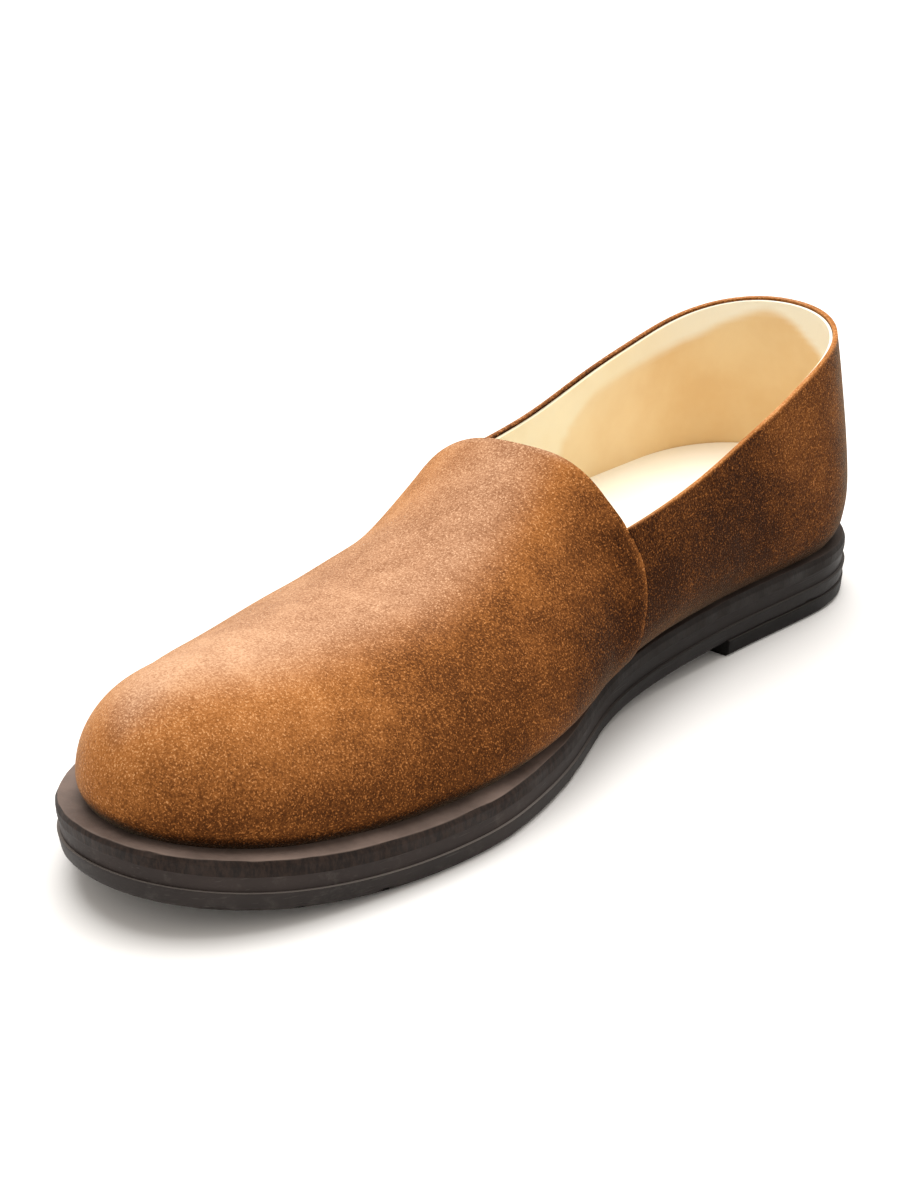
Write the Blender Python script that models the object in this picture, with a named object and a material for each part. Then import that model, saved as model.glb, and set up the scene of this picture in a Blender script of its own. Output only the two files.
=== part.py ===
"""Right-foot slip-on shoe: hollow leather upper, insole, welt, midsole, outsole and heel lift.

X+ is the medial side, Y- the toe and Z+ up; the shoe stands on Z = 0.
A station is the share of the sole's length from the heel (0) to the toe (1).
"""
import math
from collections import namedtuple

import bpy
from mathutils import Vector

MM = 0.001

# Driving sizes
SOLE_LENGTH = 280 * MM
OUTSOLE_THICKNESS = 5.2 * MM
MIDSOLE_THICKNESS = 4.3 * MM
WELT_THICKNESS = 3.5 * MM
INSOLE_THICKNESS = 3.5 * MM
INSOLE_WEDGE = 8.5 * MM
HEEL_HEIGHT = 4.3 * MM
TOE_SPRING = 9.8 * MM
UPPER_WALL = 2.2 * MM
SEAT_GAP = 0.3 * MM
INSOLE_CLEARANCE = 0.8 * MM

# Stations where the insole's wedge starts to thin, where the sole leaves the heel, touches down
# and lifts off, and where the throat opens and the last is highest
WEDGE_STATION = 0.20
HEEL_BREAST_STATION = 0.27
BALL_STATION = 0.58
LIFT_OFF_STATION = 0.74
THROAT_MEDIAL_STATION = 0.436
THROAT_LATERAL_STATION = 0.457
THROAT_RIDGE_STATION = 0.461
TOE_CROWN_STATION = 0.875
HEEL_CROWN_STATION = 0.14

# Rounded ends of the sole's outline: share of the length and power of the curve
HEEL_ROUND = 0.125
HEEL_POWER = 2.1
TOE_ROUND = 0.33
TOE_POWER = 2.15

# Height over the welt where the upper swells most, and share of the swell that the insole follows
SWELL_HEIGHT = 14 * MM
INSOLE_FOLLOW = 0.5

# Half the band about the heel and the toe, as a sine, over which one side's sizes ease into the other's
SIDE_EASE = 0.3

# Sine of the turn under which a point of the outline counts as the heel's or the toe's end
END_SINE = 1e-6

# Mesh counts, each for one side of the shoe
SOLE_STEPS = 40
HEEL_STEPS = 14
INSOLE_STEPS = 32
VAMP_COLUMNS = 26
QUARTER_COLUMNS = 20
QUARTER_ROWS = 9
TONGUE_ROWS = 6

SoleSection = namedtuple("SoleSection", "station centre half_width")
SOLE_SECTIONS = [
    SoleSection(0.00, 0.0, 34.2),
    SoleSection(0.12, 0.0, 34.2),
    SoleSection(0.28, -4.0, 35.4),
    SoleSection(0.45, -7.3, 39.4),
    SoleSection(0.58, -4.1, 49.2),
    SoleSection(0.68, -2.0, 53.1),
    SoleSection(0.76, -0.9, 52.1),
    SoleSection(0.84, 0.7, 50.3),
    SoleSection(0.92, 2.0, 49.7),
    SoleSection(1.00, 3.0, 48.8),
]

# Feather line (the upper's foot on the welt) and swell, in millimetres
FeatherSection = namedtuple(
    "FeatherSection", "station inset_medial inset_lateral swell_medial swell_lateral")
FEATHER_SECTIONS = [
    FeatherSection(0.00, 2.4, 2.4, 2.3, 2.3),
    FeatherSection(0.25, 1.2, 2.8, 3.5, 2.6),
    FeatherSection(0.44, 0.4, 3.1, 7.0, 3.5),
    FeatherSection(0.58, 1.9, 4.8, 4.4, 4.5),
    FeatherSection(0.72, 5.0, 5.9, 2.3, 2.5),
    FeatherSection(1.00, 5.7, 5.7, 2.1, 0.9),
]

# Ridge of the last: sideways place and height in millimetres, and squareness of the arch
RidgeSection = namedtuple("RidgeSection", "station side height power_medial power_lateral")
RIDGE_SECTIONS = [
    RidgeSection(0.14, 0.0, 150.0, 2.30, 2.30),
    RidgeSection(0.30, 1.0, 107.0, 2.70, 2.35),
    RidgeSection(0.43, -0.4, 76.6, 2.85, 2.58),
    RidgeSection(0.52, 2.6, 62.5, 2.37, 1.72),
    RidgeSection(0.62, 4.2, 53.0, 2.11, 1.72),
    RidgeSection(0.74, 2.9, 50.0, 2.03, 1.90),
    RidgeSection(0.88, 0.4, 51.6, 2.27, 2.45),
]

# Height of the collar's edge over the floor, in millimetres
ToplineSection = namedtuple("ToplineSection", "station medial lateral")
TOPLINE_SECTIONS = [
    ToplineSection(0.00, 80.0, 80.0),
    ToplineSection(0.10, 74.7, 74.0),
    ToplineSection(0.20, 65.1, 67.9),
    ToplineSection(0.30, 57.4, 58.4),
    ToplineSection(0.38, 53.7, 54.3),
    ToplineSection(0.46, 51.6, 52.6),
]

# Edge of each sole layer, from its underside up: inset in millimetres and share of the thickness
EdgeRow = namedtuple("EdgeRow", "inset rise")
OUTSOLE_EDGE = [EdgeRow(1.4, 0.0), EdgeRow(0.6, 0.2), EdgeRow(0.0, 1.0)]
MIDSOLE_EDGE = [EdgeRow(0.5, 0.0), EdgeRow(0.4, 1.0)]
WELT_EDGE = [EdgeRow(0.4, 0.0), EdgeRow(0.3, 0.6), EdgeRow(1.0, 1.0)]
HEEL_EDGE = [EdgeRow(1.2, 0.0), EdgeRow(0.6, 0.2), EdgeRow(0.3, 1.0)]
INSOLE_EDGE = [EdgeRow(0.0, 0.0), EdgeRow(0.0, 1.0)]


def clear_scene():
    """Empty the file."""
    for old_object in list(bpy.data.objects):
        bpy.data.objects.remove(old_object, do_unlink=True)


def table_value(rows, column, station):
    """A table's column at a station, on a smooth curve through its rows."""
    stations = [row.station for row in rows]
    values = [getattr(row, column) for row in rows]
    last = len(rows) - 1
    station = min(max(station, stations[0]), stations[last])
    left = max(index for index in range(last) if stations[index] <= station)

    def slope(index):
        before = max(index - 1, 0)
        after = min(index + 1, last)
        return (values[after] - values[before]) / (stations[after] - stations[before])

    span = stations[left + 1] - stations[left]
    share = (station - stations[left]) / span
    rest = 1 - share
    start_part = rest * rest * ((1 + 2 * share) * values[left] + share * span * slope(left))
    end_part = share * share * ((1 + 2 * rest) * values[left + 1] - rest * span * slope(left + 1))
    return start_part + end_part


def smooth_step(start, end, value):
    """Ease from 0 at start to 1 at end."""
    share = min(max((value - start) / (end - start), 0.0), 1.0)
    return share * share * (3 - 2 * share)


def end_rounding(station):
    """Share of the half width left by the round heel and toe."""
    if station < HEEL_ROUND:
        reach, power = 1 - station / HEEL_ROUND, HEEL_POWER
    elif station > 1 - TOE_ROUND:
        reach, power = (station - 1 + TOE_ROUND) / TOE_ROUND, TOE_POWER
    else:
        return 1.0
    return max(1 - reach ** power, 0.0) ** (1 / power)


def outline_station(turn):
    """Station of the outline at a turn: 0 at the heel, half a circle at the toe, medial side first."""
    return (1 - math.cos(turn)) / 2


def station_turn(station):
    """Turn of the medial outline at a station."""
    return math.acos(1 - 2 * station)


def outline_xy(turn, inset):
    """Point of the sole's outline, moved in by an inset, before it is centred on X."""
    station = outline_station(turn)
    centre = table_value(SOLE_SECTIONS, "centre", station) * MM
    half_width = table_value(SOLE_SECTIONS, "half_width", station) * MM - inset
    side = math.sin(turn)
    reach = math.copysign(half_width * end_rounding(station), side) if abs(side) > END_SINE else 0.0
    return centre + reach, (0.5 - station) * (SOLE_LENGTH - 2 * inset)


def centring_shift():
    """Move along X that puts the middle of the sole's width on X = 0."""
    turns = [math.pi * index / SOLE_STEPS for index in range(2 * SOLE_STEPS)]
    sides = [outline_xy(turn, 0.0)[0] for turn in turns]
    return -(max(sides) + min(sides)) / 2


SIDE_SHIFT = centring_shift()


def outline_point(turn, inset):
    """Point of the sole's outline on the floor."""
    side, along = outline_xy(turn, inset)
    return Vector((side + SIDE_SHIFT, along, 0.0))


def station_at(along):
    """Station of a place along Y."""
    return 0.5 - along / SOLE_LENGTH


def sole_bottom(along):
    """Underside of the outsole: on the heel lift, down the waist, flat at the ball, up at the toe."""
    station = station_at(along)
    heel_part = HEEL_HEIGHT * (1 - smooth_step(HEEL_BREAST_STATION, BALL_STATION, station))
    lift = max(station - LIFT_OFF_STATION, 0.0) / (1 - LIFT_OFF_STATION)
    return heel_part + TOE_SPRING * lift * lift


def sole_top(along):
    """Top of the welt, where the upper and the insole sit."""
    return sole_bottom(along) + OUTSOLE_THICKNESS + MIDSOLE_THICKNESS + WELT_THICKNESS


def make_material(name, colour, roughness):
    """A plain material."""
    material = bpy.data.materials.new(name)
    material.use_nodes = True
    shader = material.node_tree.nodes["Principled BSDF"]
    shader.inputs["Base Color"].default_value = (*colour, 1.0)
    shader.inputs["Roughness"].default_value = roughness
    shader.inputs["Metallic"].default_value = 0.0
    return material


def make_object(name, points, faces, material):
    """A named object from points and faces."""
    mesh = bpy.data.meshes.new(name)
    mesh.from_pydata([tuple(point) for point in points], [], faces)
    mesh.materials.append(material)
    mesh.update()
    new_object = bpy.data.objects.new(name, mesh)
    bpy.context.collection.objects.link(new_object)
    return new_object


def make_plate(name, turns, whole, edge_rows, inset_at, bottom_at, thickness_at, material):
    """A sole layer: rings of the outline stacked up its edge, closed by strips across the foot.

    The turns run over the medial half; whole is true where the layer reaches the toe.
    """
    lateral = [2 * math.pi - turn for turn in reversed(turns[1:-1])]
    if not whole:
        lateral.insert(0, 2 * math.pi - turns[-1])
    ring = turns + lateral
    count = len(ring)
    points = []
    for row in edge_rows:
        for turn in ring:
            point = outline_point(turn, inset_at(turn, row.rise) + row.inset * MM)
            point.z = bottom_at(point.y) + row.rise * thickness_at(point.y)
            points.append(point)
    faces = []
    for level in range(len(edge_rows) - 1):
        low, high = level * count, (level + 1) * count
        for index in range(count):
            following = (index + 1) % count
            faces.append((low + index, high + index, high + following, low + following))
    top = (len(edge_rows) - 1) * count
    for index in range(len(turns) - 1):
        strip = [index, index + 1, (count - index - 1) % count, (count - index) % count]
        corners = list(dict.fromkeys(strip))
        if len(corners) < 3:
            continue
        faces.append(tuple(corners))
        faces.append(tuple(top + corner for corner in reversed(corners)))
    return make_object(name, points, faces, material)


def even_turns(end_turn, steps):
    """Turns from the heel to an end turn."""
    return [end_turn * index / steps for index in range(steps + 1)]


def no_inset(turn, rise):
    """The sole layers keep the whole outline."""
    return 0.0


def medial_share(turn):
    """1 on the medial side, 0 on the lateral side, eased over the heel and the toe."""
    return smooth_step(-SIDE_EASE, SIDE_EASE, math.sin(turn))


def feather_value(turn, quantity):
    """Inset or swell of the feather line at a turn, eased from one side to the other at the ends."""
    station = outline_station(turn)
    medial = table_value(FEATHER_SECTIONS, quantity + "_medial", station)
    lateral = table_value(FEATHER_SECTIONS, quantity + "_lateral", station)
    return (lateral + (medial - lateral) * medial_share(turn)) * MM


def feather_point(turn):
    """Foot of the upper's outer face on the welt."""
    point = outline_point(turn, feather_value(turn, "inset"))
    point.z = sole_top(point.y) + SEAT_GAP
    return point


def swell_share(height):
    """Share of the upper's swell reached at a height over the welt."""
    return height / SWELL_HEIGHT * math.exp(1 - height / SWELL_HEIGHT)


def insole_thickness(along):
    """Thickness of the insole: a wedge under the heel that thins down to the ball."""
    thinning = smooth_step(WEDGE_STATION, BALL_STATION, station_at(along))
    return INSOLE_THICKNESS + INSOLE_WEDGE * (1 - thinning)


def insole_inset(turn, rise):
    """Inset of the insole, clear of the upper's inner face, which leans out as it rises."""
    along = (0.5 - outline_station(turn)) * SOLE_LENGTH
    share = INSOLE_FOLLOW * swell_share(rise * insole_thickness(along))
    wall_inset = feather_value(turn, "inset") - share * feather_value(turn, "swell")
    return wall_inset + UPPER_WALL + INSOLE_CLEARANCE


def build_sole(dark_rubber, grey_rubber, welt_leather, lining_leather):
    """The layers under the foot, from the floor up."""
    all_turns = even_turns(math.pi, SOLE_STEPS)
    heel_turns = even_turns(station_turn(HEEL_BREAST_STATION), HEEL_STEPS)
    midsole_rise = OUTSOLE_THICKNESS
    welt_rise = midsole_rise + MIDSOLE_THICKNESS
    insole_rise = welt_rise + WELT_THICKNESS

    def floor_level(along):
        return 0.0

    def layer_level(rise):
        return lambda along: sole_bottom(along) + rise

    def even(thickness):
        return lambda along: thickness

    make_plate("heel", heel_turns, False, HEEL_EDGE, no_inset, floor_level,
               even(HEEL_HEIGHT - SEAT_GAP), dark_rubber)
    make_plate("outsole", all_turns, True, OUTSOLE_EDGE, no_inset, layer_level(0.0),
               even(OUTSOLE_THICKNESS - SEAT_GAP), dark_rubber)
    make_plate("midsole", all_turns, True, MIDSOLE_EDGE, no_inset, layer_level(midsole_rise),
               even(MIDSOLE_THICKNESS - SEAT_GAP), grey_rubber)
    make_plate("welt", all_turns, True, WELT_EDGE, no_inset, layer_level(welt_rise),
               even(WELT_THICKNESS), welt_leather)
    insole_turns = even_turns(math.pi, INSOLE_STEPS)
    make_plate("insole", insole_turns, True, INSOLE_EDGE, insole_inset,
               layer_level(insole_rise + SEAT_GAP), insole_thickness, lining_leather)


def throat_station(turn):
    """Station of the throat's end on the side of a turn."""
    return THROAT_MEDIAL_STATION if math.sin(turn) >= 0 else THROAT_LATERAL_STATION


def ridge_station(turn):
    """Station on the last's ridge that the column at a turn climbs to."""
    station = outline_station(turn)
    throat = throat_station(turn)
    if station >= throat:
        share = (station - throat) / (1 - throat)
        return THROAT_RIDGE_STATION + (TOE_CROWN_STATION - THROAT_RIDGE_STATION) * share
    return HEEL_CROWN_STATION + (THROAT_RIDGE_STATION - HEEL_CROWN_STATION) * station / throat


def ridge_point(station):
    """Point of the last's ridge."""
    side = table_value(RIDGE_SECTIONS, "side", station) * MM + SIDE_SHIFT
    height = table_value(RIDGE_SECTIONS, "height", station) * MM
    return Vector((side, (0.5 - station) * SOLE_LENGTH, height))


def arch_power(turn):
    """Squareness of the arch that the column at a turn follows."""
    station = ridge_station(turn)
    medial = table_value(RIDGE_SECTIONS, "power_medial", station)
    lateral = table_value(RIDGE_SECTIONS, "power_lateral", station)
    return lateral + (medial - lateral) * medial_share(turn)


def arch_point(turn, angle):
    """Point of the last over the feather line: angle 0 is the foot, a quarter turn the ridge."""
    foot = feather_point(turn)
    ridge = ridge_point(ridge_station(turn))
    power = arch_power(turn)
    inward = 1 - max(math.cos(angle), 0.0) ** (2 / power)
    rise = math.sin(angle) ** (2 / power)
    height = rise * (ridge.z - foot.z)
    outward = Vector((foot.x - ridge.x, foot.y - ridge.y, 0.0)).normalized()
    swell = feather_value(turn, "swell") * swell_share(height)
    point = foot.lerp(ridge, inward) + outward * swell * (1 - inward)
    point.z = foot.z + height
    return point


def topline_angle(turn):
    """Angle on the last at which the collar's edge cuts a quarter column."""
    station = outline_station(turn)
    medial = table_value(TOPLINE_SECTIONS, "medial", station)
    lateral = table_value(TOPLINE_SECTIONS, "lateral", station)
    edge = (lateral + (medial - lateral) * medial_share(turn)) * MM
    foot = feather_point(turn)
    ridge = ridge_point(ridge_station(turn))
    rise = (edge - foot.z) / (ridge.z - foot.z)
    return math.asin(rise ** (arch_power(turn) / 2))


def vamp_turn(column):
    """Turn of a vamp column: medial columns first, then lateral ones that meet them on the ridge."""
    step = min(column, 2 * VAMP_COLUMNS - column)
    medial_start = station_turn(THROAT_MEDIAL_STATION)
    medial_turn = medial_start + (math.pi - medial_start) * step / VAMP_COLUMNS
    if column <= VAMP_COLUMNS:
        return medial_turn
    share = (outline_station(medial_turn) - THROAT_MEDIAL_STATION) / (1 - THROAT_MEDIAL_STATION)
    return 2 * math.pi - station_turn(THROAT_LATERAL_STATION + (1 - THROAT_LATERAL_STATION) * share)


def build_upper(suede):
    """The upper: a vamp that folds over the ridge and a quarter round the heel, one hollow wall."""
    medial_turn = station_turn(THROAT_MEDIAL_STATION)
    lateral_turn = -station_turn(THROAT_LATERAL_STATION)
    vamp_count = 2 * VAMP_COLUMNS
    quarter_count = 2 * QUARTER_COLUMNS
    ridge_row = QUARTER_ROWS + TONGUE_ROWS
    points = []
    number_of = {}

    def add_point(key, point):
        number_of[key] = len(points)
        points.append(point)

    for column in range(vamp_count + 1):
        turn = vamp_turn(column)
        notch_angle = topline_angle(medial_turn if column <= VAMP_COLUMNS else lateral_turn)
        away = abs(math.cos(math.pi * column / vamp_count))
        even_angle = math.pi / 2 * QUARTER_ROWS / ridge_row
        bend_angle = even_angle + (notch_angle - even_angle) * away
        for row in range(ridge_row + 1):
            if row <= QUARTER_ROWS:
                angle = bend_angle * row / QUARTER_ROWS
            else:
                angle = bend_angle + (math.pi / 2 - bend_angle) * (row - QUARTER_ROWS) / TONGUE_ROWS
            if row == ridge_row and column > VAMP_COLUMNS:
                number_of["vamp", column, row] = number_of["vamp", vamp_count - column, row]
            else:
                add_point(("vamp", column, row), arch_point(turn, angle))

    for column in range(quarter_count + 1):
        turn = lateral_turn + (medial_turn - lateral_turn) * column / quarter_count
        for row in range(QUARTER_ROWS + 1):
            if column == 0:
                number_of["quarter", column, row] = number_of["vamp", vamp_count, row]
            elif column == quarter_count:
                number_of["quarter", column, row] = number_of["vamp", 0, row]
            else:
                angle = topline_angle(turn) * row / QUARTER_ROWS
                add_point(("quarter", column, row), arch_point(turn, angle))

    faces = []

    def add_faces(panel, columns, rows):
        for column in range(columns):
            for row in range(rows):
                corners = [(column, row), (column, row + 1), (column + 1, row + 1), (column + 1, row)]
                numbers = [number_of[(panel, *corner)] for corner in corners]
                faces.append(tuple(dict.fromkeys(numbers)))

    add_faces("vamp", vamp_count, ridge_row)
    add_faces("quarter", quarter_count, QUARTER_ROWS)
    upper = make_object("upper", points, faces, suede)
    wall = upper.modifiers.new("wall", "SOLIDIFY")
    wall.thickness = UPPER_WALL
    wall.offset = -1.0
    wall.use_even_offset = True
    wall.use_rim = True
    return upper


clear_scene()
build_sole(
    make_material("black rubber", (0.035, 0.033, 0.031), 0.7),
    make_material("grey-brown rubber", (0.055, 0.047, 0.042), 0.7),
    make_material("brown welt leather", (0.075, 0.052, 0.038), 0.65),
    make_material("cream lining leather", (0.82, 0.76, 0.63), 0.7),
)
build_upper(make_material("brown suede", (0.26, 0.125, 0.055), 0.85))
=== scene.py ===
import math
from collections import namedtuple

import bpy
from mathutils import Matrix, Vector, noise


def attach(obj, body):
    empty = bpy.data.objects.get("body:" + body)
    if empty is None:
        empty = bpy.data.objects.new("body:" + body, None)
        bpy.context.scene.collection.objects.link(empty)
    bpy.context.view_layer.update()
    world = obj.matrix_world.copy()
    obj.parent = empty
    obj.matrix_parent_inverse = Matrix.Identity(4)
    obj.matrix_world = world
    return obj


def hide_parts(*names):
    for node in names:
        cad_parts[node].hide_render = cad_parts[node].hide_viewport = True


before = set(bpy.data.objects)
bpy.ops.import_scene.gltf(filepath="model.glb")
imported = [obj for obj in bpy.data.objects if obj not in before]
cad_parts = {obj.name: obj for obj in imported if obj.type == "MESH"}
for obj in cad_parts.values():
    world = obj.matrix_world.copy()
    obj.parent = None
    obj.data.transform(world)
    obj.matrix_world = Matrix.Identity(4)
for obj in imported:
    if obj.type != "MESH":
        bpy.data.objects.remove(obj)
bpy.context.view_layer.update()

# Outsole: a black rubber layer, moulded to the sole's outline, flat at the ball and sprung at the toe.
# It is glued under the midsole, stands a little proud of it, and has shallow cross grooves underneath.
MM = 0.001
SOLE_LENGTH = 280 * MM
HEEL_LIFT = 4.3 * MM
TOE_SPRING = 9.8 * MM
OUTSOLE_ROUNDING = 0.2 * MM
GROOVE_PITCH = 7.0 * MM
GROOVE_WIDTH = 1.7 * MM
GROOVE_DEPTH = 1.1 * MM
FOREFOOT_GROOVES = (-0.118, 0.004)
EDGE_NICK = 0.35 * MM
NICKED_HEIGHT = 1.6 * MM
DENTS_PER_METRE = 160
DENT_ONSET = 0.28
DENT_SHARE = 2.4
GRAINS_PER_METRE = 420
GRAIN_SHARE = 0.16

# Places along the sole where its underside bends, as shares of its length from the heel
BREAST = 0.27
BALL = 0.58
LIFT_OFF = 0.74

RubberTones = namedtuple("RubberTones", "dark light dust")
OUTSOLE_TONES = RubberTones(
    dark=(0.017, 0.0135, 0.0125),
    light=(0.033, 0.0265, 0.0245),
    dust=(0.085, 0.075, 0.068),
)
# Pale colour of a painted highlight on the rubber's upward faces, such as the outsole's thin ledge
PAINTED_HIGHLIGHT_RIM = (0.20, 0.175, 0.16)


def use(piece):
    """Make a piece the only selected and active object."""
    bpy.ops.object.select_all(action="DESELECT")
    piece.select_set(True)
    bpy.context.view_layer.objects.active = piece


def start_from_node(node, name):
    """A new piece that begins as a merged copy of a CAD node, turned back into quads."""
    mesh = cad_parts[node].data.copy()
    mesh.name = name
    mesh.materials.clear()
    piece = bpy.data.objects.new(name, mesh)
    bpy.context.collection.objects.link(piece)
    use(piece)
    bpy.ops.mesh.customdata_custom_splitnormals_clear()
    bpy.ops.object.mode_set(mode="EDIT")
    bpy.ops.mesh.select_all(action="SELECT")
    bpy.ops.mesh.remove_doubles(threshold=0.01 * MM)
    bpy.ops.mesh.tris_convert_to_quads(
        face_threshold=math.radians(60),
        shape_threshold=math.radians(60),
    )
    bpy.ops.object.mode_set(mode="OBJECT")
    return piece


def apply_modifier(piece, kind, **settings):
    """Add a modifier to a piece and apply it."""
    modifier = piece.modifiers.new(kind.lower(), kind)
    for setting, value in settings.items():
        setattr(modifier, setting, value)
    use(piece)
    bpy.ops.object.modifier_apply(modifier=modifier.name)


def select_faces(piece, wanted):
    """Enter edit mode with only the faces selected for which wanted(centre, normal) is true."""
    use(piece)
    bpy.ops.object.mode_set(mode="EDIT")
    bpy.ops.mesh.select_mode(type="FACE")
    bpy.ops.mesh.select_all(action="DESELECT")
    bpy.ops.object.mode_set(mode="OBJECT")
    for face in piece.data.polygons:
        face.select = wanted(face.center, face.normal)
    bpy.ops.object.mode_set(mode="EDIT")


def shape(piece, move):
    """Move every vertex of a piece by move(place, normal)."""
    mesh = piece.data
    moves = [move(vertex.co, vertex.normal) for vertex in mesh.vertices]
    for vertex, step in zip(mesh.vertices, moves):
        vertex.co += step
    mesh.update()


def smooth_outline(piece):
    """Round a faceted layer's outline and keep its edges."""
    use(piece)
    bpy.ops.object.mode_set(mode="EDIT")
    bpy.ops.mesh.select_mode(type="EDGE")
    bpy.ops.mesh.select_all(action="DESELECT")
    bpy.ops.mesh.edges_select_sharp(sharpness=math.radians(24))
    bpy.ops.transform.edge_crease(value=1.0)
    bpy.ops.object.mode_set(mode="OBJECT")
    apply_modifier(piece, "SUBSURF", levels=2, render_levels=2)


def soften_edges(piece, width, segments):
    """Round a piece's sharp edges and shade it smooth."""
    apply_modifier(
        piece,
        "BEVEL",
        width=width,
        segments=segments,
        limit_method="ANGLE",
        angle_limit=math.radians(28),
        use_clamp_overlap=True,
    )
    use(piece)
    bpy.ops.object.shade_smooth_by_angle(angle=math.radians(35))


def cut_across(piece, wanted, places):
    """Cut the wanted faces straight across at places along Y."""
    select_faces(piece, wanted)
    bpy.ops.mesh.hide(unselected=True)
    for along in places:
        bpy.ops.mesh.select_all(action="SELECT")
        bpy.ops.mesh.bisect(plane_co=(0, along, 0), plane_no=(0, 1, 0))
    bpy.ops.mesh.reveal(select=False)
    bpy.ops.object.mode_set(mode="OBJECT")


def cut_grooves(piece, first, last):
    """Cut straight grooves across a layer's underside between two places along Y."""
    def faces_down(normal):
        return normal.z < -0.9

    def is_under(centre, normal):
        return faces_down(normal) and first - GROOVE_PITCH < centre.y < last + GROOVE_PITCH

    grooves = int((last - first) / GROOVE_PITCH) + 1
    starts = [first + GROOVE_PITCH * index for index in range(grooves)]
    sides = [side for start in starts for side in (start, start + GROOVE_WIDTH)]
    cut_across(piece, is_under, sides)

    def in_groove(centre, normal):
        return faces_down(normal) and any(start < centre.y < start + GROOVE_WIDTH for start in starts)

    select_faces(piece, in_groove)
    bpy.ops.mesh.extrude_region_move(TRANSFORM_OT_translate={"value": (0, 0, GROOVE_DEPTH)})
    bpy.ops.object.mode_set(mode="OBJECT")


def ease(start, end, value):
    """Ease from 0 at start to 1 at end."""
    share = min(max((value - start) / (end - start), 0.0), 1.0)
    return share * share * (3 - 2 * share)


def sole_under(along):
    """Height of the outsole's underside at a place along Y."""
    station = 0.5 - along / SOLE_LENGTH
    spring = max(station - LIFT_OFF, 0.0) / (1 - LIFT_OFF)
    return HEEL_LIFT * (1 - ease(BREAST, BALL, station)) + TOE_SPRING * spring * spring


def on_edge(normal):
    """Whether a spot lies on a layer's edge and not on its top or underside."""
    return abs(normal.z) <= 0.8


def nick_edge(piece, highest):
    """Press small nicks into the lower part of a layer's edge."""
    def press(place, normal):
        level = place.z - sole_under(place.y)
        if not on_edge(normal) or not 0.0 < level < highest:
            return Vector((0, 0, 0))
        upright = Vector((place.x, place.y, place.z * 0.5))
        dent = max(noise.noise(upright * DENTS_PER_METRE) - DENT_ONSET, 0.0)
        grain = noise.noise(place * GRAINS_PER_METRE)
        return -normal * EDGE_NICK * (DENT_SHARE * dent + GRAIN_SHARE * grain)

    shape(piece, press)


def new_material(name):
    """A material with its node tree and shader."""
    material = bpy.data.materials.new(name)
    material.use_nodes = True
    return material, material.node_tree, material.node_tree.nodes["Principled BSDF"]


def add_node(tree, kind, values, **settings):
    """A node's own settings, and its inputs as values or as links from other sockets."""
    node = tree.nodes.new("ShaderNode" + kind)
    for setting, value in settings.items():
        setattr(node, setting, value)
    for socket, value in values.items():
        if isinstance(value, bpy.types.NodeSocket):
            tree.links.new(value, node.inputs[socket])
        else:
            node.inputs[socket].default_value = value
    return node


def object_place(tree):
    """The place on the shoe, in metres."""
    return add_node(tree, "TexCoord", {}).outputs["Object"]


def mapped(tree, place, change, value):
    """A place with its Location or Scale changed."""
    return add_node(tree, "Mapping", {"Vector": place, change: value}).outputs["Vector"]


def axis_value(tree, vector, axis):
    """One of a vector's three values."""
    return add_node(tree, "SeparateXYZ", {"Vector": vector}).outputs[axis]


def cloud(tree, place, per_metre, detail, roughness):
    """Soft noise between 0 and 1, with a number of clouds in a metre."""
    values = {"Vector": place, "Scale": per_metre, "Detail": detail, "Roughness": roughness}
    return add_node(tree, "TexNoise", values).outputs["Fac"]


def remap(tree, value, low, high, to_low=0.0, to_high=1.0):
    """A value eased from one range to another."""
    values = {"Value": value, "From Min": low, "From Max": high, "To Min": to_low, "To Max": to_high}
    return add_node(tree, "MapRange", values, interpolation_type="SMOOTHSTEP").outputs["Result"]


def arithmetic(tree, operation, first, second):
    """Two values put together by an operation."""
    return add_node(tree, "Math", {0: first, 1: second}, operation=operation).outputs["Value"]


def blend_colours(tree, share, first, second):
    """A colour between two others, each a socket or three numbers."""
    values = {0: share}
    for socket, colour in ((6, first), (7, second)):
        values[socket] = colour if isinstance(colour, bpy.types.NodeSocket) else (*colour, 1.0)
    return add_node(tree, "Mix", values, data_type="RGBA").outputs[2]


def facing_up(tree):
    """1 where the surface faces up."""
    return axis_value(tree, add_node(tree, "NewGeometry", {}).outputs["Normal"], "Z")


def raise_grain(tree, shader, height, strength, depth):
    """Let a height pattern tilt the surface."""
    values = {"Height": height, "Strength": strength, "Distance": depth}
    bump = add_node(tree, "Bump", values)
    tree.links.new(bump.outputs["Normal"], shader.inputs["Normal"])


def painted_shade_to_heel(tree, place):
    """Share of painted shade: none at the dusty toe, most from the waist to the heel."""
    return remap(tree, axis_value(tree, place, "Y"), low=-0.060, high=0.030, to_high=0.75)


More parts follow.
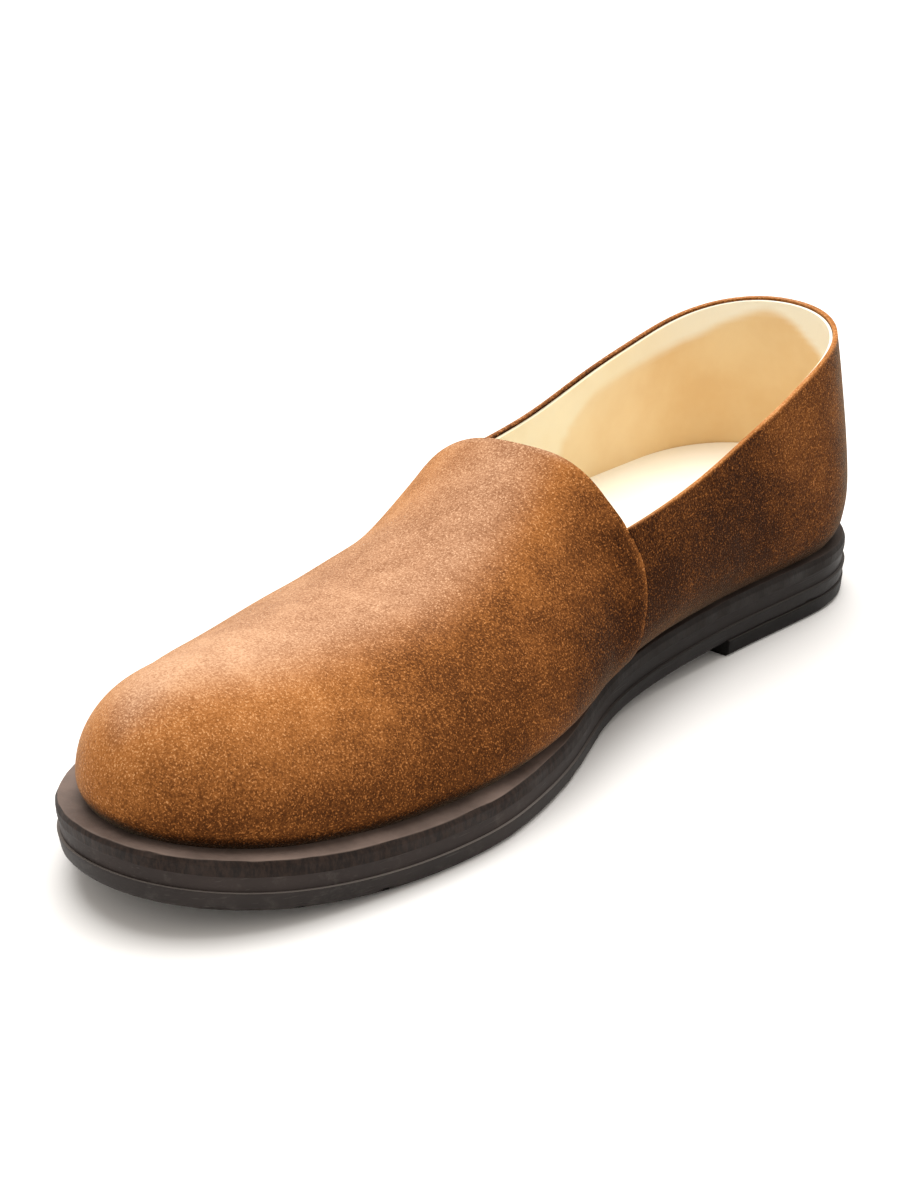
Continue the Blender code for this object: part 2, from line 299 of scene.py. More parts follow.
def rubber_material(name, tones):
    """Moulded rubber: cloudy, a little dusty, with fine scratches along the shoe, a painted highlight
    on its upward faces and painted shade towards the heel.
    """
    material, tree, shader = new_material(name)
    place = object_place(tree)
    clouds = cloud(tree, place, per_metre=45, detail=4.0, roughness=0.6)
    grain = cloud(tree, place, per_metre=1100, detail=3.0, roughness=0.6)
    specks = cloud(tree, place, per_metre=170, detail=5.0, roughness=0.72)
    drawn_out = mapped(tree, place, "Scale", (1.0, 0.12, 4.0))
    streaks = cloud(tree, drawn_out, per_metre=420, detail=2.0, roughness=0.7)
    scratches = remap(tree, streaks, low=0.60, high=0.74)
    shade = blend_colours(tree, remap(tree, clouds, low=0.3, high=0.72), tones.dark, tones.light)
    powder = arithmetic(tree, "MULTIPLY", remap(tree, specks, low=0.52, high=0.78), 0.45)
    shade = blend_colours(tree, powder, shade, tones.dust)
    scraped = arithmetic(tree, "MULTIPLY", scratches, 0.35)
    shade = blend_colours(tree, scraped, shade, tones.dust)
    # Painted highlight: upward faces are blended towards a pale rim colour
    painted_glint = remap(tree, facing_up(tree), low=0.35, high=0.8, to_high=0.9)
    shade = blend_colours(tree, painted_glint, shade, PAINTED_HIGHLIGHT_RIM)
    # Painted shade from the waist to the heel: the rubber's dark tone cut to a third
    shaded_dark = [0.3 * part for part in tones.dark]
    shade = blend_colours(tree, painted_shade_to_heel(tree, place), shade, shaded_dark)
    tree.links.new(shade, shader.inputs["Base Color"])
    gloss = remap(tree, clouds, low=0.3, high=0.7, to_low=0.48, to_high=0.66)
    tree.links.new(gloss, shader.inputs["Roughness"])
    shader.inputs["Specular IOR Level"].default_value = 0.17
    height = arithmetic(tree, "ADD", arithmetic(tree, "MULTIPLY", grain, 0.7), scratches)
    raise_grain(tree, shader, height, strength=0.35, depth=0.15 * MM)
    return material


outsole = start_from_node("outsole", "outsole")
smooth_outline(outsole)
soften_edges(outsole, OUTSOLE_ROUNDING, segments=2)
nick_edge(outsole, NICKED_HEIGHT)
cut_grooves(outsole, *FOREFOOT_GROOVES)
outsole.data.materials.append(rubber_material("black_rubber", OUTSOLE_TONES))
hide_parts("outsole")
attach(outsole, "root")

# Heel lift: a low block of black rubber under the back of the outsole, darker with painted shade.
# It is glued on, has a square breast in front, and the same shallow grooves underneath.
HEEL_ROUNDING = 0.35 * MM
HEEL_GROOVES = (0.071, 0.128)
# Darker tones than the outsole's: painted shade on the heel
HEEL_SHADED_TONES = RubberTones(
    dark=(0.006, 0.0045, 0.004),
    light=(0.012, 0.009, 0.008),
    dust=(0.035, 0.03, 0.027),
)

# Each layer is sunk a little into the next, so that no light shows through the joint
SUNK = 0.6 * MM

heel = start_from_node("heel", "heel_lift")
smooth_outline(heel)
soften_edges(heel, HEEL_ROUNDING, segments=2)
cut_grooves(heel, *HEEL_GROOVES)


def meet_outsole(place, normal):
    """Close the joint between the lift and the outsole by sinking its top into it."""
    rise = SUNK if place.z > HEEL_LIFT / 2 else 0.0
    return Vector((0, 0, rise))


shape(heel, meet_outsole)
heel.data.materials.append(rubber_material("heel_rubber", HEEL_SHADED_TONES))
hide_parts("heel")
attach(heel, "root")

# Midsole: a smooth grey-brown rubber layer between the outsole and the welt.
# It is a hair narrower than the outsole, whose upper edge shows as a thin pale line under it, a
# painted highlight on its upward faces.
MIDSOLE_RISE = 5.2 * MM
MIDSOLE_THICKNESS = 4.0 * MM
MIDSOLE_INSET = 0.25 * MM
MIDSOLE_ROUNDING = 0.2 * MM
MIDSOLE_TONES = RubberTones(
    dark=(0.021, 0.0155, 0.0140),
    light=(0.039, 0.0295, 0.0265),
    dust=(0.10, 0.085, 0.076),
)

midsole = start_from_node("midsole", "midsole")
smooth_outline(midsole)
soften_edges(midsole, MIDSOLE_ROUNDING, segments=2)


def meet_below(rise, thickness, proud):
    """Sink a layer into the one under it, and let its side stand proud."""
    def lower(place, normal):
        level = place.z - sole_under(place.y) - rise
        side = Vector((normal.x, normal.y, 0.0)) * proud
        return side - Vector((0, 0, SUNK if level < thickness * 0.4 else 0.0))

    return lower


shape(midsole, meet_below(MIDSOLE_RISE, MIDSOLE_THICKNESS, proud=-MIDSOLE_INSET))
midsole.data.materials.append(rubber_material("grey_brown_rubber", MIDSOLE_TONES))
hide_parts("midsole")
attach(midsole, "root")

# Welt: a dark leather strip whose flat ledge shows all round the upper, widest at the toe.
# Its cut edge is rough. Its top has gone grey with dust at the toe, and painted shade darkens it
# towards the heel.
WELT_RISE = 9.5 * MM
WELT_THICKNESS = 3.5 * MM
WELT_PROUD = 0.15 * MM
WELT_ROUNDING = 0.45 * MM
CUT_ROUGHNESS = 0.12 * MM
FRAYS_PER_METRE = 220
FIBRES_PER_METRE = 700
FIBRE_SHARE = 0.7
CUT_DARK = (0.008, 0.0042, 0.003)
CUT_LIGHT = (0.026, 0.0145, 0.010)
LEDGE_DARK = (0.11, 0.079, 0.065)
LEDGE_LIGHT = (0.205, 0.150, 0.125)
# Near-black colour of the painted shade on the welt towards the heel
WELT_PAINTED_SHADE = (0.006, 0.004, 0.003)

welt = start_from_node("welt", "welt")
smooth_outline(welt)
soften_edges(welt, WELT_ROUNDING, segments=3)
shape(welt, meet_below(WELT_RISE, WELT_THICKNESS, proud=WELT_PROUD))


def roughen_cut(place, normal):
    """Uneven cut edge of the strip."""
    if not on_edge(normal):
        return Vector((0, 0, 0))
    frays = noise.noise(place * FRAYS_PER_METRE)
    fibres = noise.noise(place * FIBRES_PER_METRE)
    return normal * CUT_ROUGHNESS * (frays + FIBRE_SHARE * fibres)


shape(welt, roughen_cut)
welt_leather, tree, shader = new_material("dark_welt_leather")
place = object_place(tree)
upright = mapped(tree, place, "Scale", (1.0, 1.0, 0.35))
fibres = cloud(tree, upright, per_metre=900, detail=4.0, roughness=0.7)
clouds = cloud(tree, place, per_metre=60, detail=4.0, roughness=0.6)
cut_edge = blend_colours(tree, remap(tree, fibres, low=0.35, high=0.68), CUT_DARK, CUT_LIGHT)
dusty_top = blend_colours(tree, remap(tree, clouds, low=0.3, high=0.7), LEDGE_DARK, LEDGE_LIGHT)
top_share = remap(tree, facing_up(tree), low=0.45, high=0.9)
skin = blend_colours(tree, top_share, cut_edge, dusty_top)
# Painted shade darkens the welt towards the heel
skin = blend_colours(tree, painted_shade_to_heel(tree, place), skin, WELT_PAINTED_SHADE)
tree.links.new(skin, shader.inputs["Base Color"])
gloss = remap(tree, clouds, low=0.3, high=0.7, to_low=0.55, to_high=0.78)
tree.links.new(gloss, shader.inputs["Roughness"])
shader.inputs["Specular IOR Level"].default_value = 0.22
raise_grain(tree, shader, fibres, strength=0.5, depth=0.25 * MM)
welt.data.materials.append(welt_leather)
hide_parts("welt")
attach(welt, "root")

# Insole: a board covered in pale smooth leather, thick under the heel, laid inside on the welt.
# It shows through the collar, almost white, and its top edge meets the lining all round.
SOLE_STACK = 13.0 * MM
INSOLE_ROUNDING = 0.9 * MM
INSOLE_SPREAD = 1.2 * MM
INSOLE_TILT = 3.4 * MM
INSOLE_DROP = 0.3 * MM
TILT_FROM, TILT_TO = 0.01, 0.11
INSOLE_PALE = (0.96, 0.95, 0.88)
INSOLE_CREAM = (0.95, 0.92, 0.80)

insole = start_from_node("insole", "insole")
smooth_outline(insole)
soften_edges(insole, INSOLE_ROUNDING, segments=3)


def foot_height(place):
    """Height of a place over the welt."""
    return place.z - sole_under(place.y) - SOLE_STACK


def fill_upper(place, normal):
    """Let the board down on the welt and spread its upper part out to the lining."""
    side = Vector((normal.x, normal.y, 0.0))
    upper_part = ease(2 * MM, 7 * MM, foot_height(place))
    tilt = INSOLE_TILT * ease(TILT_FROM, TILT_TO, place.y)
    return side * INSOLE_SPREAD * upper_part + Vector((0, 0, tilt * upper_part - INSOLE_DROP))


shape(insole, fill_upper)
pale_leather, tree, shader = new_material("pale_insole_leather")
place = object_place(tree)
clouds = cloud(tree, place, per_metre=24, detail=4.0, roughness=0.6)
pores = cloud(tree, place, per_metre=1500, detail=2.0, roughness=0.6)
tone = blend_colours(tree, remap(tree, clouds, low=0.3, high=0.72), INSOLE_PALE, INSOLE_CREAM)
tree.links.new(tone, shader.inputs["Base Color"])
gloss = remap(tree, clouds, low=0.3, high=0.7, to_low=0.50, to_high=0.62)
tree.links.new(gloss, shader.inputs["Roughness"])
raise_grain(tree, shader, pores, strength=0.25, depth=0.12 * MM)
insole.data.materials.append(pale_leather)
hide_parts("insole")
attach(insole, "root")

# Upper: one piece of oiled rough suede, wrapped from the vamp by the lateral side round the heel.
# Its vamp end laps over its other end on the medial side and is closed there without visible stitches.
# The throat, the collar and the lap are raw-cut edges.
SUEDE = 1.35 * MM
NOTCHES = [Vector((0.0318, 0.0176, 0.0522)), Vector((-0.0348, 0.0116, 0.0527))]
NOTCH_HEIGHT = 52.2 * MM
TOE_CROWN = Vector((0.0023, -0.1050, 0.040))
CROWN_REACH = 2.1 * MM
MEDIAL_WALL = 0.012
SEAM_WALL = 0.018
LAP_RISE = 1.3 * MM
LAP_REACH = 14 * MM
LAP_TOP = 61 * MM
LIP = 0.12 * MM
CREVICE = 0.4 * MM
CREVICE_WIDTH = 1.1 * MM
FOOT_ROLL = 2.2 * MM
FOOT_ROLL_HEIGHT = 6.0 * MM
BODY_WAVE = 0.15 * MM
WAVES_PER_METRE = 26
WAVE_START = Vector((3.1, 0.7, 5.2))
DIMPLES_PER_METRE = 64
DIMPLE_SHARE = 0.4
CREASED_FROM, CREASED_TO = 0.022, 0.034

SeamPoint = namedtuple("SeamPoint", "height along")
SEAM = [
    SeamPoint(0.0150, 0.0115),
    SeamPoint(0.0240, 0.0130),
    SeamPoint(0.0290, 0.0145),
    SeamPoint(0.0340, 0.0166),
    SeamPoint(0.0385, 0.0182),
    SeamPoint(0.0430, 0.0190),
    SeamPoint(0.0475, 0.0188),
    SeamPoint(0.0522, 0.0176),
]

Crease = namedtuple("Crease", "along slant width depth middle reach")
CREASES = [
    Crease(-0.044, -0.20, 0.0075, 0.75 * MM, 0.012, 0.040),
    Crease(-0.062, -0.10, 0.0060, 0.45 * MM, 0.020, 0.030),
    Crease(-0.022, -0.30, 0.0085, 0.50 * MM, -0.010, 0.036),
    Crease(-0.095, 0.25, 0.0090, 0.55 * MM, -0.016, 0.026),
]


def keep_face(piece, outer):
    """Keep only the outer or the inner face of the CAD wall."""
    turned = -1 if outer else 1
    toe_faces = [face for face in piece.data.polygons if face.normal.y * turned > 0.4]
    seed = min(toe_faces, key=lambda face: face.center.y).index
    select_faces(piece, lambda centre, normal: False)
    bpy.ops.object.mode_set(mode="OBJECT")
    piece.data.polygons[seed].select = True
    bpy.ops.object.mode_set(mode="EDIT")
    bpy.ops.mesh.faces_select_linked_flat(sharpness=math.radians(66))
    bpy.ops.mesh.select_all(action="INVERT")
    bpy.ops.mesh.delete(type="FACE")
    bpy.ops.object.mode_set(mode="OBJECT")


def select_points(piece, chosen):
    """Enter edit mode with only the chosen vertices selected, given by number."""
    use(piece)
    bpy.ops.object.mode_set(mode="EDIT")
    bpy.ops.mesh.select_mode(type="VERT")
    bpy.ops.mesh.select_all(action="DESELECT")
    bpy.ops.object.mode_set(mode="OBJECT")
    for number in chosen:
        piece.data.vertices[number].select = True
    bpy.ops.object.mode_set(mode="EDIT")


def nearest_point(piece, spot):
    """Number of the vertex that lies nearest to a spot."""
    return min(piece.data.vertices, key=lambda vertex: (vertex.co - spot).length).index


def join_crown(piece):
    """Join the crowded points where the vamp's columns meet over the toes."""
    over_toes = [vertex for vertex in piece.data.vertices if vertex.co.z > TOE_CROWN.z]
    near = [vertex.index for vertex in over_toes
            if (vertex.co.xy - TOE_CROWN.xy).length < CROWN_REACH]
    select_points(piece, near)
    bpy.ops.mesh.merge(type="CENTER")
    bpy.ops.object.mode_set(mode="OBJECT")


def round_wall(piece):
    """Round a faceted wall and keep its pointed corners."""
    apply_modifier(piece, "SUBSURF", levels=2, render_levels=2, boundary_smooth="PRESERVE_CORNERS")


def thicken_wall(piece, thickness, **settings):
    """Give a wall its thickness inwards and shade it smooth."""
    apply_modifier(piece, "SOLIDIFY", thickness=thickness, offset=-1.0, use_rim=True, **settings)
    use(piece)
    bpy.ops.object.shade_smooth_by_angle(angle=math.radians(50))


def curve_value(points, at):
    """Value at a place on a smooth curve through (place, value) pairs."""
    last = len(points) - 1
    at = min(max(at, points[0][0]), points[last][0])
    left = max(index for index in range(last) if points[index][0] <= at)

    def slope(index):
        before, after = points[max(index - 1, 0)], points[min(index + 1, last)]
        return (after[1] - before[1]) / (after[0] - before[0])

    (start, low), (end, high) = points[left], points[left + 1]
    span = end - start
    share = (at - start) / span
    rest = 1 - share
    early = rest * rest * ((1 + 2 * share) * low + share * span * slope(left))
    late = share * share * ((1 + 2 * rest) * high - rest * span * slope(left + 1))
    return early + late


def behind_seam(place):
    """Distance of a place behind the medial seam, along Y."""
    return place.y - curve_value(SEAM, place.z)


def by_seam(centre, normal):
    """Faces of the medial wall round the seam, once the seam has been slid straight."""
    return centre.x > SEAM_WALL and abs(centre.y) < 9 * MM and centre.z < NOTCH_HEIGHT + 2 * MM


upper = start_from_node("upper", "upper_suede")
keep_face(upper, outer=True)
join_crown(upper)

# Keep the throat's two notches pointed
select_points(upper, [nearest_point(upper, notch) for notch in NOTCHES])
bpy.ops.transform.vert_crease(value=1.0)
bpy.ops.object.mode_set(mode="OBJECT")
round_wall(upper)

# Cut the edge of the vamp's lap: the seam is slid straight, cut across, and slid back
shape(upper, lambda place, normal: Vector((0, -curve_value(SEAM, place.z), 0)))
cut_across(upper, by_seam, (-CREVICE_WIDTH, -LIP, 0.0, CREVICE_WIDTH))
shape(upper, lambda place, normal: Vector((0, curve_value(SEAM, place.z), 0)))


def body_wave(place):
    """Slow unevenness of a hand-lasted upper, from about -1 to 1."""
    waves = noise.noise(place * WAVES_PER_METRE + WAVE_START)
    return waves + DIMPLE_SHARE * noise.noise(place * DIMPLES_PER_METRE)


def flex_trough(place):
    """Depth of the soft troughs that walking has left across the vamp."""
    depth = 0.0
    for crease in CREASES:
        away = (place.y - crease.along - crease.slant * place.x) / crease.width
        side = (place.x - crease.middle) / crease.reach
        depth += crease.depth * math.exp(-away * away - side * side)
    return depth


def grow(least, start, end, value):
    """Ease from a least share at start to 1 at end."""
    return least + (1 - least) * ease(start, end, value)


def lap_height(place):
    """How far the vamp stands out in front of the medial seam, and the crevice behind it."""
    behind = behind_seam(place)
    if place.x < MEDIAL_WALL or not -LAP_REACH < behind < CREVICE_WIDTH:
        return 0.0
    strength = grow(least=0.45, start=3 * MM, end=16 * MM, value=foot_height(place))
    strength *= 1 - ease(NOTCH_HEIGHT, LAP_TOP, place.z)
    if behind <= -LIP / 2:
        return LAP_RISE * strength * (1 - ease(0.0, LAP_REACH, -behind))
    if place.z < NOTCH_HEIGHT:
        return -CREVICE * strength * (1 - behind / CREVICE_WIDTH)
    return 0.0


def foot_tuck(place):
    """0 up on the wall, growing to 1 at its foot."""
    return max(1 - foot_height(place) / FOOT_ROLL_HEIGHT, 0.0)


def foot_roll(place, normal):
    """Level step along the wall's normal, largest at its foot."""
    tuck = foot_tuck(place)
    return Vector((normal.x, normal.y, 0.0)).normalized() * FOOT_ROLL * tuck * tuck


def last_upper(place, normal):
    """Raise the lap, roll the foot under and press in the troughs."""
    trough = flex_trough(place) * ease(CREASED_FROM, CREASED_TO, place.z)
    out = lap_height(place) + BODY_WAVE * body_wave(place) - trough
    down = Vector((0, 0, SUNK * foot_tuck(place)))
    return normal * out - foot_roll(place, normal) - down


shape(upper, last_upper)
thicken_wall(upper, SUEDE, material_offset_rim=1)

# Patches of the suede's tone, listed: pale where it is rubbed, dark where it holds oil; on the medial
# side some are painted shade, and on the quarter painted light along its topline and at its back
Blotch = namedtuple("Blotch", "x y z radius tone")
BLOTCHES = [
    Blotch(-0.006, -0.116, 0.049, 0.018, 0.17),
    Blotch(-0.001, -0.127, 0.040, 0.010, -0.10),
    Blotch(0.004, -0.092, 0.051, 0.016, 0.06),
    Blotch(0.034, -0.060, 0.041, 0.016, -0.16),
    Blotch(0.032, -0.036, 0.046, 0.014, -0.17),
    Blotch(0.044, -0.052, 0.033, 0.018, -0.14),
    Blotch(0.008, -0.062, 0.051, 0.020, -0.07),
    Blotch(0.020, -0.010, 0.059, 0.014, -0.06),
    Blotch(0.036, 0.010, 0.042, 0.012, 0.07),
    Blotch(0.034, 0.035, 0.049, 0.010, 0.08),
    Blotch(0.037, 0.034, 0.024, 0.018, 0.02),
    Blotch(0.036, 0.064, 0.030, 0.022, -0.12),
    Blotch(0.034, 0.066, 0.056, 0.010, 0.08),
    Blotch(0.034, 0.100, 0.058, 0.026, 0.31),
    Blotch(-0.040, -0.050, 0.042, 0.022, -0.08),
    Blotch(-0.042, 0.010, 0.034, 0.022, -0.08),
    Blotch(-0.034, 0.070, 0.045, 0.030, -0.06),
    Blotch(0.000, 0.138, 0.055, 0.022, 0.06),
]
# Painted light and shade on the suede: lighter facing up and to the lateral side, darker facing the
# medial side
PAINTED_LIGHT_UP = 0.8
PAINTED_SHADE_MEDIAL = 0.6
PAINTED_LIGHT_LATERAL = 0.15
PAINTED_SHEEN_LATERAL = -0.15
DARKEST = 0.015
PAINTED_LIGHT_RANGE = 0.72
# The forefoot's sides take less of the painted shade
FOREFOOT_TONE = 0.19
FOREFOOT_FROM, FOREFOOT_TO = -0.035, -0.005
# Painted shade in the crease where the suede's foot meets the welt
FOOT_PAINTED_SHADE = -0.45
FOOT_PAINTED_SHADE_HEIGHT = 5.0 * MM
# Pale lip of the lap, partly a painted highlight, and painted shade in the crevice behind it
LIP_TONE = 0.34
CREVICE_PAINTED_SHADE = -0.22

# Colours of the suede from dark to pale, and the same under a painted pinkish sheen
ToneStop = namedtuple("ToneStop", "tone colour")
HIDE_TONES = [
    ToneStop(0.0, (0.026, 0.0075, 0.0016)),
    ToneStop(0.3, (0.125, 0.041, 0.0095)),
    ToneStop(0.55, (0.30, 0.108, 0.026)),
    ToneStop(0.78, (0.45, 0.18, 0.054)),
    ToneStop(1.0, (0.62, 0.31, 0.13)),
]
# Painted sheen: the suede's colours under a pinkish sheen painted on its lit top
PAINTED_SHEEN_TONES = [
    ToneStop(0.0, (0.050, 0.020, 0.009)),
    ToneStop(0.3, (0.150, 0.062, 0.029)),
    ToneStop(0.55, (0.30, 0.138, 0.067)),
    ToneStop(0.78, (0.47, 0.25, 0.140)),
    ToneStop(1.0, (0.65, 0.39, 0.235)),
]
SHEEN_TINT = (1.0, 0.84, 0.60, 1.0)
RAW_DARK = (0.075, 0.028, 0.009)
RAW_LIGHT = (0.21, 0.085, 0.027)


def store_value(piece, name, value_at):
    """Keep a number for each vertex of a piece, read by its material."""
    attribute = piece.data.attributes.new(name, "FLOAT", "POINT")
    values = [value_at(vertex.co, vertex.normal) for vertex in piece.data.vertices]
    attribute.data.foreach_set("value", values)


def stored_value(tree, name):
    """The number kept for a place on a piece."""
    return add_node(tree, "Attribute", {}, attribute_name=name).outputs["Fac"]


def painted_light_facing(normal, lateral):
    """How far a spot faces up and away from the medial side, which sets its painted light and shade,
    with the share for lateral slopes.
    """
    sideways = PAINTED_SHADE_MEDIAL if normal.x > 0 else lateral
    return PAINTED_LIGHT_UP * normal.z - sideways * normal.x


def seam_tone(place):
    """Pale lip of the lap, partly burnished and partly a painted highlight, and painted shade in the
    crevice behind it.
    """
    behind = behind_seam(place)
    away = abs(behind) / CREVICE_WIDTH
    if place.x <= MEDIAL_WALL or away >= 2 or place.z >= NOTCH_HEIGHT + 3 * MM:
        return 0.0
    reach = 1 - ease(0.6, 1.5, away)
    strength = grow(least=0.35, start=4 * MM, end=18 * MM, value=foot_height(place))
    return (LIP_TONE if behind < -LIP / 2 else CREVICE_PAINTED_SHADE) * reach * strength


def hide_tone(place, normal):
    """Tone of the suede, from 0 dark to 1 pale: painted light and shade by facing, painted shade at
    the foot and in the lap's crevice, a pale lip, and patches of wear, oil and painted light and
    shade.
    """
    lit = painted_light_facing(normal, PAINTED_LIGHT_LATERAL)
    forefoot = 1 - ease(FOREFOOT_FROM, FOREFOOT_TO, place.y)
    # Painted light and shade by the way the surface faces
    total = DARKEST + PAINTED_LIGHT_RANGE * ease(-0.5, 0.8, lit)
    total += FOREFOOT_TONE * forefoot * (1 - ease(-0.2, 0.5, lit))
    for blotch in BLOTCHES:
        away = (place - Vector((blotch.x, blotch.y, blotch.z))).length / blotch.radius
        total += blotch.tone * math.exp(-away * away)
    # Painted shade at the foot of the upper
    total += FOOT_PAINTED_SHADE * (1 - ease(0.0, FOOT_PAINTED_SHADE_HEIGHT, foot_height(place)))
    return total + seam_tone(place)


def painted_sheen_share(place, normal):
    """Share of the painted pinkish sheen that lies on the lit top of the shoe."""
    return ease(0.38, 0.74, painted_light_facing(normal, PAINTED_SHEEN_LATERAL))


def tone_colours(tree, tone, stops):
    """Colour for a tone, from a list of stops."""
    node = add_node(tree, "ValToRGB", {"Fac": tone})
    ramp = node.color_ramp
    while len(ramp.elements) < len(stops):
        ramp.elements.new(0.5)
    for element, stop in zip(ramp.elements, stops):
        element.position = stop.tone
        element.color = (*stop.colour, 1.0)
    return node.outputs["Color"]


def vary(tree, tone, pattern, low, high, to_low, to_high):
    """A tone with a pattern added to it."""
    return arithmetic(tree, "ADD", tone, remap(tree, pattern, low, high, to_low, to_high))


store_value(upper, "tone", hide_tone)
store_value(upper, "painted_sheen", painted_sheen_share)
suede, tree, shader = new_material("oiled_brown_suede")
place = object_place(tree)
patches = cloud(tree, place, per_metre=26, detail=3.0, roughness=0.55)
mottle = cloud(tree, place, per_metre=120, detail=4.0, roughness=0.62)
nap = cloud(tree, place, per_metre=1500, detail=2.0, roughness=0.65)
elsewhere = mapped(tree, place, "Location", (3.0, 1.0, 2.0))
flecks = cloud(tree, elsewhere, per_metre=2300, detail=1.0, roughness=0.5)
tone = stored_value(tree, "tone")
tone = vary(tree, tone, patches, low=0.28, high=0.72, to_low=-0.09, to_high=0.09)
tone = vary(tree, tone, mottle, low=0.28, high=0.72, to_low=-0.07, to_high=0.07)
tone = vary(tree, tone, nap, low=0.30, high=0.70, to_low=-0.12, to_high=0.12)
tone = vary(tree, tone, flecks, low=0.55, high=0.70, to_low=0.0, to_high=0.40)
plain_skin = tone_colours(tree, tone, HIDE_TONES)
sheened_skin = tone_colours(tree, tone, PAINTED_SHEEN_TONES)
# Blend in the painted sheen
skin = blend_colours(tree, stored_value(tree, "painted_sheen"), plain_skin, sheened_skin)
tree.links.new(skin, shader.inputs["Base Color"])
gloss = remap(tree, mottle, low=0.3, high=0.7, to_low=0.74, to_high=0.88)
tree.links.new(gloss, shader.inputs["Roughness"])
shader.inputs["Specular IOR Level"].default_value = 0.05
shader.inputs["Sheen Weight"].default_value = 0.25
shader.inputs["Sheen Roughness"].default_value = 0.25
shader.inputs["Sheen Tint"].default_value = SHEEN_TINT
fibre_height = arithmetic(tree, "ADD", nap, arithmetic(tree, "MULTIPLY", flecks, 0.8))
raise_grain(tree, shader, fibre_height, strength=0.6, depth=0.35 * MM)
upper.data.materials.append(suede)

raw_edge, tree, shader = new_material("raw_suede_edge")
place = object_place(tree)
fibres = cloud(tree, place, per_metre=1400, detail=3.0, roughness=0.7)
tone = blend_colours(tree, remap(tree, fibres, low=0.3, high=0.7), RAW_DARK, RAW_LIGHT)
tree.links.new(tone, shader.inputs["Base Color"])
shader.inputs["Roughness"].default_value = 0.9
shader.inputs["Specular IOR Level"].default_value = 0.15
raise_grain(tree, shader, fibres, strength=0.6, depth=0.3 * MM)
upper.data.materials.append(raw_edge)
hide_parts("upper")
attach(upper, "root")

# Lining: thin cream leather glued inside the suede, cut a little short of its raw edges.
# A softer tan piece lies over it round the heel, skived thin along its curved front and upper edge.
LINING = 0.75 * MM
LINING_SHORT = 0.7 * MM
LINING_RIPPLE = 0.25 * MM
RIPPLES_PER_METRE = 38
LINING_ROLL = 1.2
POCKET_STEP = 0.5 * MM
POCKET_DROP = 9.0 * MM
POCKET_WANDER = 0.9 * MM
WANDERS_PER_METRE = 120
SKIVED = 1.8 * MM
DROP_FROM, DROP_TO = -0.006, 0.016
PocketEdge = namedtuple("PocketEdge", "along height")
POCKET_EDGE = [
    PocketEdge(0.060, 0.0150),
    PocketEdge(0.070, 0.0455),
    PocketEdge(0.078, 0.0580),
    PocketEdge(0.086, 0.0615),
    PocketEdge(0.107, 0.0650),
    PocketEdge(0.122, 0.0690),
    PocketEdge(0.129, 0.0733),
    PocketEdge(0.134, 0.0775),
]
CREAM_LIGHT = (0.95, 0.87, 0.66)
CREAM_DARK = (0.93, 0.82, 0.58)
CREAM_PALE = (0.98, 0.95, 0.82)
TAN_LIGHT = (0.88, 0.67, 0.38)
TAN_DARK = (0.81, 0.565, 0.285)


def in_pocket(place, normal):
    """1 on the heel piece, 0 on the cream lining, soft at its edge."""
    if place.y <= POCKET_EDGE[0].along:
        return 0.0
    wander = POCKET_WANDER * noise.noise(place * WANDERS_PER_METRE)
    edge = curve_value(POCKET_EDGE, place.y) - POCKET_DROP * ease(DROP_FROM, DROP_TO, place.x)
    return ease(-SKIVED, SKIVED, edge - place.z + wander)


def draw_back_rim(piece, distance):
    """Draw a wall's open edges back along the wall."""
    mesh = piece.data
    faces_at = [0] * len(mesh.edges)
    for face in mesh.polygons:
        for loop in face.loop_indices:
            faces_at[mesh.loops[loop].edge_index] += 1
    rim = {corner for edge in mesh.edges if faces_at[edge.index] == 1 for corner in edge.vertices}
    steps = {}
    for edge in mesh.edges:
        first, second = edge.vertices
        for corner, inner in ((first, second), (second, first)):
            if corner in rim and inner not in rim:
                step = mesh.vertices[inner].co - mesh.vertices[corner].co
                steps[corner] = step * min(distance / step.length, 0.8)
    for corner, step in steps.items():
        mesh.vertices[corner].co += step


def dress_lining(place, normal):
    """Raise the heel piece, roll the foot in with the suede and let the lining ripple a little."""
    ripple = LINING_RIPPLE * noise.noise(place * RIPPLES_PER_METRE)
    rise = POCKET_STEP * in_pocket(place, normal) + ripple
    return normal * rise + foot_roll(place, normal) * LINING_ROLL


lining = start_from_node("upper", "lining")
keep_face(lining, outer=False)
join_crown(lining)
round_wall(lining)
draw_back_rim(lining, LINING_SHORT)
store_value(lining, "pocket", in_pocket)
shape(lining, dress_lining)
thicken_wall(lining, LINING)

cream_leather, tree, shader = new_material("cream_lining_leather")
place = object_place(tree)
along = axis_value(tree, place, "Y")
pocket = stored_value(tree, "pocket")
clouds = cloud(tree, place, per_metre=30, detail=4.0, roughness=0.6)
pores = cloud(tree, place, per_metre=1300, detail=2.0, roughness=0.6)
uneven = remap(tree, clouds, low=0.3, high=0.7)
# The cream goes paler towards the back, and the heel piece paler towards its front
paler_back = remap(tree, along, low=0.085, high=0.120, to_high=0.8)
paler_front = remap(tree, along, low=0.070, high=0.115, to_low=0.40, to_high=0.0)
cream = blend_colours(tree, uneven, CREAM_LIGHT, CREAM_DARK)
cream = blend_colours(tree, paler_back, cream, CREAM_PALE)
tan = blend_colours(tree, uneven, TAN_LIGHT, TAN_DARK)
tan = blend_colours(tree, paler_front, tan, cream)
tree.links.new(blend_colours(tree, pocket, cream, tan), shader.inputs["Base Color"])
gloss = remap(tree, pocket, low=0.0, high=1.0, to_low=0.55, to_high=0.85)
tree.links.new(gloss, shader.inputs["Roughness"])
raise_grain(tree, shader, pores, strength=0.3, depth=0.15 * MM)
lining.data.materials.append(cream_leather)
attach(lining, "root")

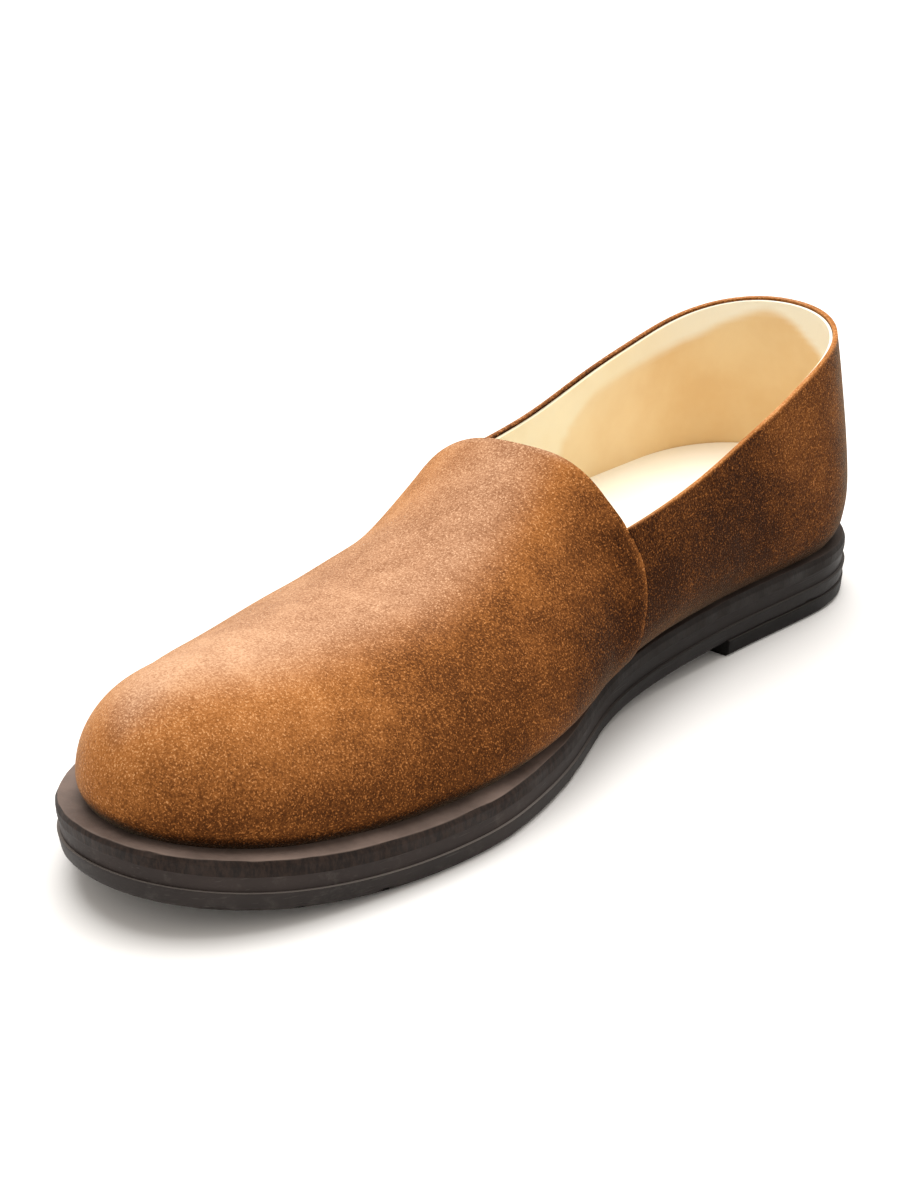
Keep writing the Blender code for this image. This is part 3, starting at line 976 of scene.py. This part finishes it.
# Floor: a plain pale sheet under the shoe.
# One broad soft lamp hangs overhead, and a pale room lights the shoe from all sides.
FLOOR_SIZE = 12.0
FLOOR_DROP = 0.2 * MM
FLOOR_GREY = (0.90, 0.895, 0.89)
FLOOR_PALE = (0.92, 0.915, 0.91)
ROOM_COLOUR = (1.0, 0.94, 0.87, 1.0)
ROOM_STRENGTH = 0.75
LAMP_PLACE = Vector((-0.35, 0.35, 1.50))
LAMP_AIM = Vector((0.0, 0.0, 0.03))
LAMP_SIZE = 1.9
LAMP_POWER = 38.0
LAMP_COLOUR = (1.0, 0.99, 0.975)

bpy.ops.object.select_all(action="DESELECT")
bpy.ops.mesh.primitive_plane_add(size=FLOOR_SIZE, location=(0, 0, -FLOOR_DROP))
floor = bpy.context.object
floor.name = "floor"
paper, tree, shader = new_material("pale_floor")
clouds = cloud(tree, object_place(tree), per_metre=3, detail=2.0, roughness=0.5)
tree.links.new(blend_colours(tree, clouds, FLOOR_GREY, FLOOR_PALE), shader.inputs["Base Color"])
shader.inputs["Roughness"].default_value = 0.75
floor.data.materials.append(paper)

room = bpy.data.worlds.new("pale_room")
room.use_nodes = True
room_light = room.node_tree.nodes["Background"]
room_light.inputs["Color"].default_value = ROOM_COLOUR
room_light.inputs["Strength"].default_value = ROOM_STRENGTH
bpy.context.scene.world = room
bpy.context.scene.view_settings.view_transform = "Standard"

lamp_data = bpy.data.lights.new("overhead_lamp", "AREA")
lamp_data.shape = "DISK"
lamp_data.size = LAMP_SIZE
lamp_data.energy = LAMP_POWER
lamp_data.color = LAMP_COLOUR
lamp = bpy.data.objects.new("overhead_lamp", lamp_data)
lamp.location = LAMP_PLACE
lamp.rotation_euler = (LAMP_AIM - LAMP_PLACE).to_track_quat("-Z", "Y").to_euler()
bpy.context.collection.objects.link(lamp)

# Camera: three-quarters from the toe and the medial side, a little above the shoe.
# Its place is in metres and its turn in degrees.
CAMERA_PLACE = (0.37247, -0.42343, 0.28203)
CAMERA_TURN = (65.909, 0.953, 41.870)
LENS = 70.68
SENSOR_WIDTH = 36.0

camera_data = bpy.data.cameras.new("camera")
camera_data.lens = LENS
camera_data.sensor_width = SENSOR_WIDTH
camera = bpy.data.objects.new("camera", camera_data)
camera.location = CAMERA_PLACE
camera.rotation_euler = [math.radians(angle) for angle in CAMERA_TURN]
bpy.context.collection.objects.link(camera)
bpy.context.scene.camera = camera
